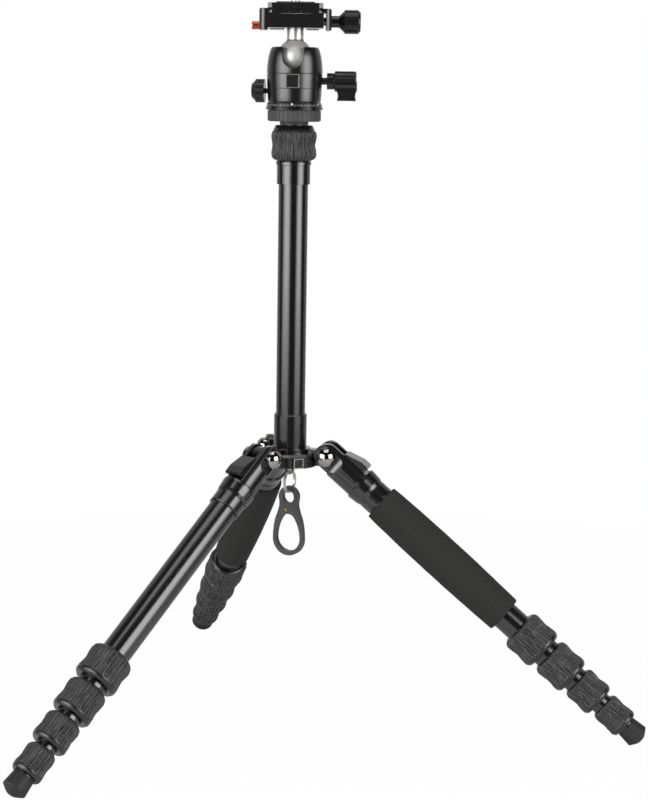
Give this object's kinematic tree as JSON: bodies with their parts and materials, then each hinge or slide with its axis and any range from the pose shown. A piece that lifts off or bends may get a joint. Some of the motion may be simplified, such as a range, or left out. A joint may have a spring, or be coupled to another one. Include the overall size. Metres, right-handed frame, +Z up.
{
  "type": "travel tripod",
  "caption": "Black travel tripod with folding twist-lock legs, foam grips, a sliding centre column, a ball head with a quick-release clamp and a hanging hook.",
  "frame": {"origin": "on the floor, under the centre of the box round the whole tripod", "axes": "+Z up, along the centre column; -Y is the front, where the bare badges, the open side of the ball's notch and the clamp's finger notch face; +X is towards the clamp knob"},
  "size_m": [0.464, 0.4704, 0.5489],
  "materials": {
    "gloss_black": "gloss black anodised",
    "satin_black": "satin black anodised",
    "grip_rubber": "matt, ribbed",
    "foam": "matt foam",
    "steel": "satin",
    "dark_chrome": "polished",
    "grey_anodised": "matt grey anodised",
    "safety_orange": "orange-red anodised",
    "black_plastic": "fine satin"
  },
  "bodies": {
    "hub": {"hub": "gloss_black", "column_tube": "gloss_black", "hub_fasteners": "dark_chrome"},
    "column_lock": {"column_lock": "grip_rubber"},
    "upper_column": {"inner_column": "gloss_black", "platform_disc": "black_plastic", "pan_base": "gloss_black"},
    "head": {"head_housing": "satin_black"},
    "lock_knob": {"lock_knob": "black_plastic"},
    "pan_knob": {"pan_knob": "black_plastic"},
    "ball": {"ball": "steel"},
    "ball_neck": {"ball_neck": "steel"},
    "clamp": {"clamp_body": "satin_black"},
    "clamp_jaw": {"clamp_jaw": "satin_black"},
    "clamp_knob": {"clamp_knob": "black_plastic"},
    "safety_pin": {"safety_pin": "safety_orange"},
    "quick_plate": {"quick_plate": "satin_black", "plate_pad": "grip_rubber"},
    "camera_screw": {"camera_screw": "steel"},
    "split_ring": {"split_ring": "steel"},
    "carabiner": {"carabiner": "grey_anodised"},
    "carabiner_gate": {"carabiner_gate": "grey_anodised"},
    "right_leg": {"right_shoulder": "gloss_black", "right_tube_1": "gloss_black", "right_foam_grip": "foam"},
    "right_stop": {"right_angle_stop": "gloss_black"},
    "right_lock_1": {"right_lock_1": "grip_rubber"},
    "right_section_2": {"right_tube_2": "gloss_black"},
    "right_lock_2": {"right_lock_2": "grip_rubber"},
    "right_section_3": {"right_tube_3": "gloss_black"},
    "right_lock_3": {"right_lock_3": "grip_rubber"},
    "right_section_4": {"right_tube_4": "gloss_black"},
    "right_lock_4": {"right_lock_4": "grip_rubber"},
    "right_section_5": {"right_tube_5": "gloss_black", "right_foot": "grip_rubber"},
    "rear_leg": {"rear_shoulder": "gloss_black", "rear_tube_1": "gloss_black", "rear_foam_grip": "foam"},
    "rear_stop": {"rear_angle_stop": "gloss_black"},
    "rear_lock_1": {"rear_lock_1": "grip_rubber"},
    "rear_section_2": {"rear_tube_2": "gloss_black"},
    "rear_lock_2": {"rear_lock_2": "grip_rubber"},
    "rear_section_3": {"rear_tube_3": "gloss_black"},
    "rear_lock_3": {"rear_lock_3": "grip_rubber"},
    "rear_section_4": {"rear_tube_4": "gloss_black"},
    "rear_lock_4": {"rear_lock_4": "grip_rubber"},
    "rear_section_5": {"rear_tube_5": "gloss_black", "rear_foot": "grip_rubber"},
    "left_leg": {"left_shoulder": "gloss_black", "left_tube_1": "gloss_black"},
    "left_stop": {"left_angle_stop": "gloss_black"},
    "left_lock_1": {"left_lock_1": "grip_rubber"},
    "left_section_2": {"left_tube_2": "gloss_black"},
    "left_lock_2": {"left_lock_2": "grip_rubber"},
    "left_section_3": {"left_tube_3": "gloss_black"},
    "left_lock_3": {"left_lock_3": "grip_rubber"},
    "left_section_4": {"left_tube_4": "gloss_black"},
    "left_lock_4": {"left_lock_4": "grip_rubber"},
    "left_section_5": {"left_tube_5": "gloss_black", "left_foot": "grip_rubber"}
  },
  "joints": [
    {"name": "column_lock_twist", "type": "hinge", "parent": "hub", "child": "column_lock", "pos_m": [-0.03769, -0.03097, 0.43883], "axis": [0, 0, 1], "range_deg": [0, 90]},
    {"name": "column_slide", "type": "slide", "parent": "hub", "child": "upper_column", "axis": [0, 0, -1], "range_m": [-0.17, 0]},
    {"name": "head_pan", "type": "hinge", "parent": "upper_column", "child": "head", "pos_m": [-0.03769, -0.03097, 0.47333], "axis": [0, 0, -1], "continuous": true},
    {"name": "ball_lock_twist", "type": "hinge", "parent": "head", "child": "lock_knob", "pos_m": [-0.00778, -0.03333, 0.48893], "axis": [0.9969, -0.0785, 0], "range_deg": [-60, 60]},
    {"name": "pan_lock_twist", "type": "hinge", "parent": "head", "child": "pan_knob", "pos_m": [-0.06352, -0.02803, 0.48133], "axis": [-0.9936, 0.1132, 0], "range_deg": [0, 180]},
    {"name": "ball_side_tilt", "type": "hinge", "parent": "head", "child": "ball", "pos_m": [-0.03769, -0.03097, 0.50613], "axis": [0.0785, 0.9969, 0], "range_deg": [-22, 22]},
    {"name": "ball_front_tilt", "type": "hinge", "parent": "ball", "child": "ball_neck", "pos_m": [-0.03769, -0.03097, 0.50613], "axis": [0.9969, -0.0785, 0], "range_deg": [-22, 90]},
    {"name": "clamp_spin", "type": "hinge", "parent": "ball_neck", "child": "clamp", "pos_m": [-0.03769, -0.03097, 0.52733], "axis": [0, 0, 1], "continuous": true},
    {"name": "jaw_slide", "type": "slide", "parent": "clamp", "child": "clamp_jaw", "axis": [1, 0, 0], "range_m": [0, 0.003]},
    {"name": "clamp_knob_turn", "type": "hinge", "parent": "clamp_jaw", "child": "clamp_knob", "pos_m": [0.00231, -0.03097, 0.53233], "axis": [1, 0, 0], "range_deg": [0, 1080]},
    {"name": "safety_pin_push", "type": "slide", "parent": "clamp", "child": "safety_pin", "axis": [1, 0, 0], "range_m": [0, 0.0025], "stiffness_N_per_m": 300, "springref_m": -0.001},
    {"name": "plate_slide", "type": "slide", "parent": "clamp", "child": "quick_plate", "axis": [0, -1, 0], "range_m": [-0.006, 0.045]},
    {"name": "camera_screw_turn", "type": "hinge", "parent": "quick_plate", "child": "camera_screw", "pos_m": [-0.03769, -0.03097, 0.54608], "axis": [0, 0, 1], "continuous": true},
    {"name": "ring_swing", "type": "hinge", "parent": "hub", "child": "split_ring", "pos_m": [-0.03769, -0.03097, 0.19553], "axis": [0.4695, 0.8829, 0], "range_deg": [-45, 8]},
    {"name": "hook_swing", "type": "hinge", "parent": "split_ring", "child": "carabiner", "pos_m": [-0.03769, -0.03097, 0.18653], "axis": [0.8829, -0.4695, 0], "range_deg": [-40, 8]},
    {"name": "gate_swing", "type": "hinge", "parent": "carabiner", "child": "carabiner_gate", "pos_m": [-0.03936, -0.03008, 0.1645], "axis": [-0.4695, -0.8829, 0], "range_deg": [0, 24], "stiffness_Nm_per_rad": 0.02, "springref_deg": -11.46},
    {"name": "right_leg_fold", "type": "hinge", "parent": "hub", "child": "right_leg", "pos_m": [-0.00803, -0.03809, 0.20883], "axis": [0.2334, 0.9724, 0], "range_deg": [-122, 45]},
    {"name": "right_stop_slide", "type": "slide", "parent": "right_leg", "child": "right_stop", "axis": [0.7449, -0.1788, -0.6428], "range_m": [-0.0022, 0.002]},
    {"name": "right_lock_1_twist", "type": "hinge", "parent": "right_leg", "child": "right_lock_1", "pos_m": [0.14616, -0.07511, 0.07578], "axis": [0.7449, -0.1788, -0.6428], "range_deg": [0, 90]},
    {"name": "right_section_2_slide", "type": "slide", "parent": "right_leg", "child": "right_section_2", "axis": [0.7449, -0.1788, -0.6428], "range_m": [0, 0.1557]},
    {"name": "right_lock_2_twist", "type": "hinge", "parent": "right_section_2", "child": "right_lock_2", "pos_m": [0.16851, -0.08047, 0.05649], "axis": [0.7449, -0.1788, -0.6428], "range_deg": [0, 90]},
    {"name": "right_section_3_slide", "type": "slide", "parent": "right_section_2", "child": "right_section_3", "axis": [0.7449, -0.1788, -0.6428], "range_m": [0, 0.1827]},
    {"name": "right_lock_3_twist", "type": "hinge", "parent": "right_section_3", "child": "right_lock_3", "pos_m": [0.18862, -0.0853, 0.03914], "axis": [0.7449, -0.1788, -0.6428], "range_deg": [0, 90]},
    {"name": "right_section_4_slide", "type": "slide", "parent": "right_section_3", "child": "right_section_4", "axis": [0.7449, -0.1788, -0.6428], "range_m": [0, 0.2073]},
    {"name": "right_lock_4_twist", "type": "hinge", "parent": "right_section_4", "child": "right_lock_4", "pos_m": [0.20873, -0.09013, 0.02178], "axis": [0.7449, -0.1788, -0.6428], "range_deg": [0, 90]},
    {"name": "right_section_5_slide", "type": "slide", "parent": "right_section_4", "child": "right_section_5", "axis": [0.7449, -0.1788, -0.6428], "range_m": [0, 0.2315]},
    {"name": "rear_leg_fold", "type": "hinge", "parent": "hub", "child": "rear_leg", "pos_m": [-0.04635, -0.00173, 0.20883], "axis": [-0.9588, -0.284, 0], "range_deg": [-128, 45]},
    {"name": "rear_stop_slide", "type": "slide", "parent": "rear_leg", "child": "rear_stop", "axis": [-0.2176, 0.7345, -0.6428], "range_m": [-0.0022, 0.002]},
    {"name": "rear_lock_1_twist", "type": "hinge", "parent": "rear_leg", "child": "rear_lock_1", "pos_m": [-0.09139, 0.15031, 0.07578], "axis": [-0.2176, 0.7345, -0.6428], "range_deg": [0, 90]},
    {"name": "rear_section_2_slide", "type": "slide", "parent": "rear_leg", "child": "rear_section_2", "axis": [-0.2176, 0.7345, -0.6428], "range_m": [0, 0.1557]},
    {"name": "rear_lock_2_twist", "type": "hinge", "parent": "rear_section_2", "child": "rear_lock_2", "pos_m": [-0.09791, 0.17235, 0.05649], "axis": [-0.2176, 0.7345, -0.6428], "range_deg": [0, 90]},
    {"name": "rear_section_3_slide", "type": "slide", "parent": "rear_section_2", "child": "rear_section_3", "axis": [-0.2176, 0.7345, -0.6428], "range_m": [0, 0.1827]},
    {"name": "rear_lock_3_twist", "type": "hinge", "parent": "rear_section_3", "child": "rear_lock_3", "pos_m": [-0.10379, 0.19218, 0.03914], "axis": [-0.2176, 0.7345, -0.6428], "range_deg": [0, 90]},
    {"name": "rear_section_4_slide", "type": "slide", "parent": "rear_section_3", "child": "rear_section_4", "axis": [-0.2176, 0.7345, -0.6428], "range_m": [0, 0.2073]},
    {"name": "rear_lock_4_twist", "type": "hinge", "parent": "rear_section_4", "child": "rear_lock_4", "pos_m": [-0.10966, 0.21201, 0.02178], "axis": [-0.2176, 0.7345, -0.6428], "range_deg": [0, 90]},
    {"name": "rear_section_5_slide", "type": "slide", "parent": "rear_section_4", "child": "rear_section_5", "axis": [-0.2176, 0.7345, -0.6428], "range_m": [0, 0.2315]},
    {"name": "left_leg_fold", "type": "hinge", "parent": "hub", "child": "left_leg", "pos_m": [-0.05868, -0.0531, 0.20883], "axis": [0.7254, -0.6884, 0], "range_deg": [-128, 45]},
    {"name": "left_stop_slide", "type": "slide", "parent": "left_leg", "child": "left_stop", "axis": [-0.5273, -0.5557, -0.6428], "range_m": [-0.0022, 0.002]},
    {"name": "left_lock_1_twist", "type": "hinge", "parent": "left_leg", "child": "left_lock_1", "pos_m": [-0.16784, -0.16812, 0.07578], "axis": [-0.5273, -0.5557, -0.6428], "range_deg": [0, 90]},
    {"name": "left_section_2_slide", "type": "slide", "parent": "left_leg", "child": "left_section_2", "axis": [-0.5273, -0.5557, -0.6428], "range_m": [0, 0.1557]},
    {"name": "left_lock_2_twist", "type": "hinge", "parent": "left_section_2", "child": "left_lock_2", "pos_m": [-0.18366, -0.18479, 0.05649], "axis": [-0.5273, -0.5557, -0.6428], "range_deg": [0, 90]},
    {"name": "left_section_3_slide", "type": "slide", "parent": "left_section_2", "child": "left_section_3", "axis": [-0.5273, -0.5557, -0.6428], "range_m": [0, 0.1827]},
    {"name": "left_lock_3_twist", "type": "hinge", "parent": "left_section_3", "child": "left_lock_3", "pos_m": [-0.19789, -0.19979, 0.03914], "axis": [-0.5273, -0.5557, -0.6428], "range_deg": [0, 90]},
    {"name": "left_section_4_slide", "type": "slide", "parent": "left_section_3", "child": "left_section_4", "axis": [-0.5273, -0.5557, -0.6428], "range_m": [0, 0.2073]},
    {"name": "left_lock_4_twist", "type": "hinge", "parent": "left_section_4", "child": "left_lock_4", "pos_m": [-0.21213, -0.2148, 0.02178], "axis": [-0.5273, -0.5557, -0.6428], "range_deg": [0, 90]},
    {"name": "left_section_5_slide", "type": "slide", "parent": "left_section_4", "child": "left_section_5", "axis": [-0.5273, -0.5557, -0.6428], "range_m": [0, 0.2315]}
  ],
  "couplings": [
    {"joint": "clamp_knob_turn", "follows": "jaw_slide", "rad_per_m": 6283.2}
  ]
}
